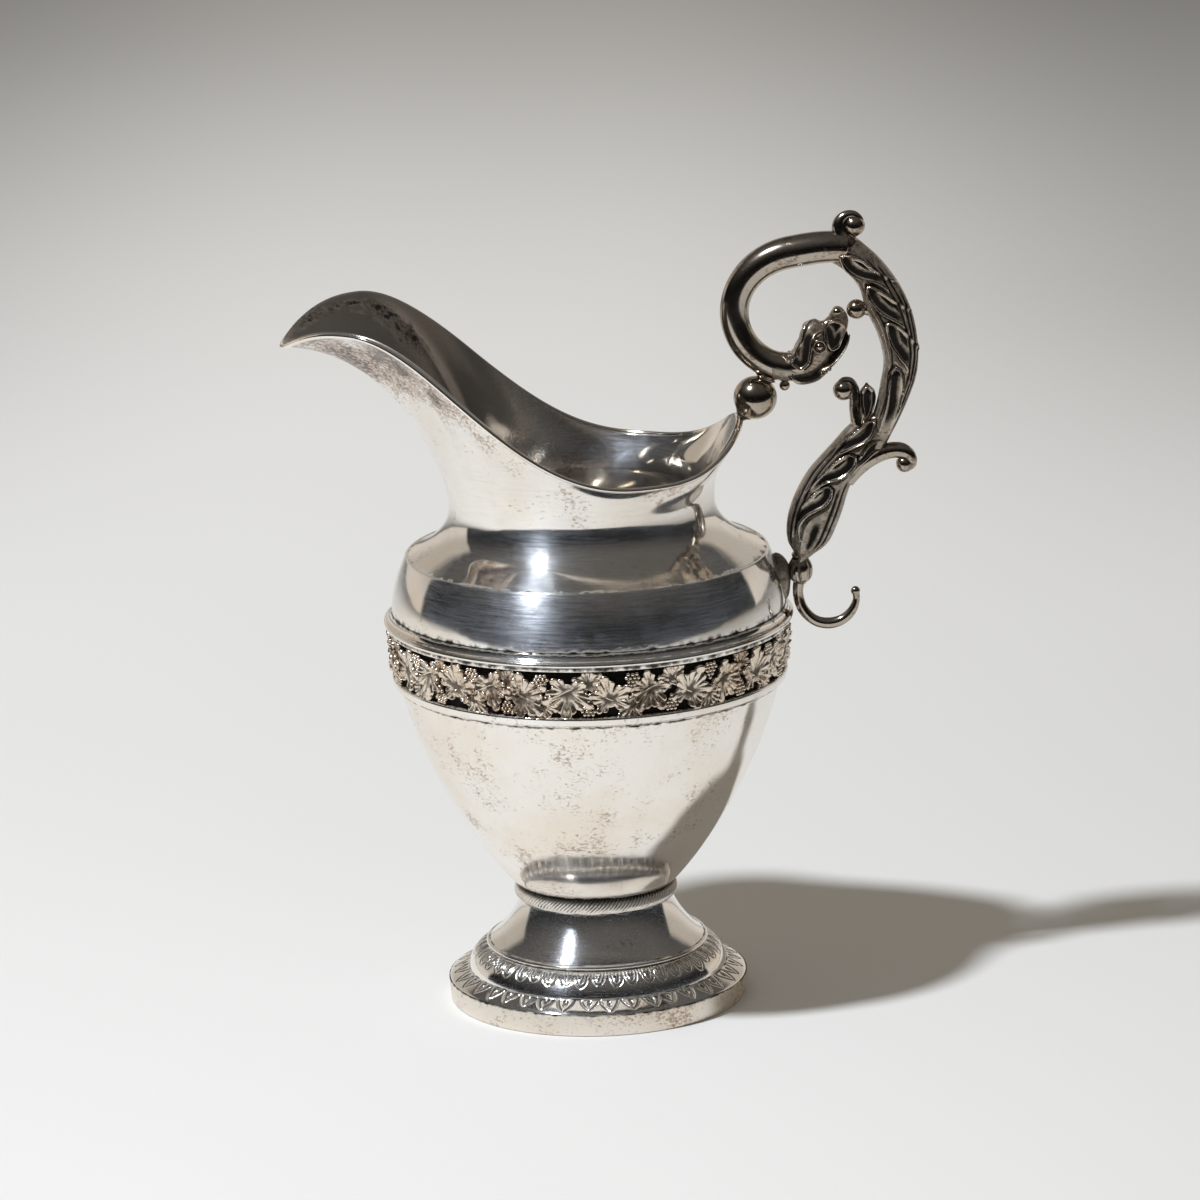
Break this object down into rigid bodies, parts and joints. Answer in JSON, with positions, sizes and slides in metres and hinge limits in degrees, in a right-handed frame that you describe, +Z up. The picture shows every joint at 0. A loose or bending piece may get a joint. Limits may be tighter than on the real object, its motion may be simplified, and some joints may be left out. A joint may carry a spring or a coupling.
{
  "type": "milk jug",
  "caption": "Silver milk jug with a domed foot, egg-shaped bowl, vine-leaf frieze, high helmet spout and an acanthus handle that ends in a serpent's loop and head.",
  "frame": {"origin": "middle of the outline on the table, so the axis of the turned body lies 4.6 mm towards the spout", "axes": "+Z up from the table, +X towards the handle, -X towards the spout, +Y to the jug's far side in the picture"},
  "size_m": [0.1552, 0.1, 0.1953],
  "materials": {
    "plinth_wall": "polished silver with light scratches and brown tarnish",
    "foot_dome": "polished silver with light scratches and brown tarnish",
    "foot_stem": "polished silver with light scratches and brown tarnish",
    "rope_ring": "polished silver with light scratches and brown tarnish",
    "bowl": "polished silver with light scratches and brown tarnish",
    "lower_band_moulding": "polished silver with light scratches and brown tarnish",
    "upper_band_moulding": "polished silver with light scratches and brown tarnish",
    "shoulder": "polished silver with light scratches and brown tarnish",
    "neck_spout": "polished silver with light scratches and brown tarnish",
    "rim_wire": "polished silver with light scratches and brown tarnish",
    "vine_frieze": "cast silver, darkened in the hollows and bright on the edges",
    "handle_ball": "cast silver, darkened in the hollows and bright on the edges",
    "serpent_loop": "cast silver, darkened in the hollows and bright on the edges",
    "serpent_head": "cast silver, darkened in the hollows and bright on the edges",
    "loop_pearl": "cast silver, darkened in the hollows and bright on the edges",
    "upper_leaf_arm": "cast silver, darkened in the hollows and bright on the edges",
    "top_finial": "cast silver, darkened in the hollows and bright on the edges",
    "arm_pearl": "cast silver, darkened in the hollows and bright on the edges",
    "lower_leaf_arm": "cast silver, darkened in the hollows and bright on the edges",
    "curl_bud": "cast silver, darkened in the hollows and bright on the edges",
    "outer_scroll": "cast silver, darkened in the hollows and bright on the edges",
    "bud_collar": "cast silver, darkened in the hollows and bright on the edges",
    "shoulder_pad": "cast silver, darkened in the hollows and bright on the edges",
    "tail_hook": "cast silver, darkened in the hollows and bright on the edges"
  },
  "bodies": {
    "root": {"plinth_wall": "plinth_wall", "foot_dome": "foot_dome", "foot_stem": "foot_stem", "rope_ring": "rope_ring", "bowl": "bowl", "lower_band_moulding": "lower_band_moulding", "upper_band_moulding": "upper_band_moulding", "shoulder": "shoulder", "neck_spout": "neck_spout", "rim_wire": "rim_wire", "vine_frieze": "vine_frieze", "handle_ball": "handle_ball", "serpent_loop": "serpent_loop", "serpent_head": "serpent_head", "loop_pearl": "loop_pearl", "upper_leaf_arm": "upper_leaf_arm", "top_finial": "top_finial", "arm_pearl": "arm_pearl", "lower_leaf_arm": "lower_leaf_arm", "curl_bud": "curl_bud", "outer_scroll": "outer_scroll", "bud_collar": "bud_collar", "shoulder_pad": "shoulder_pad", "tail_hook": "tail_hook"}
  },
  "joints": []
}
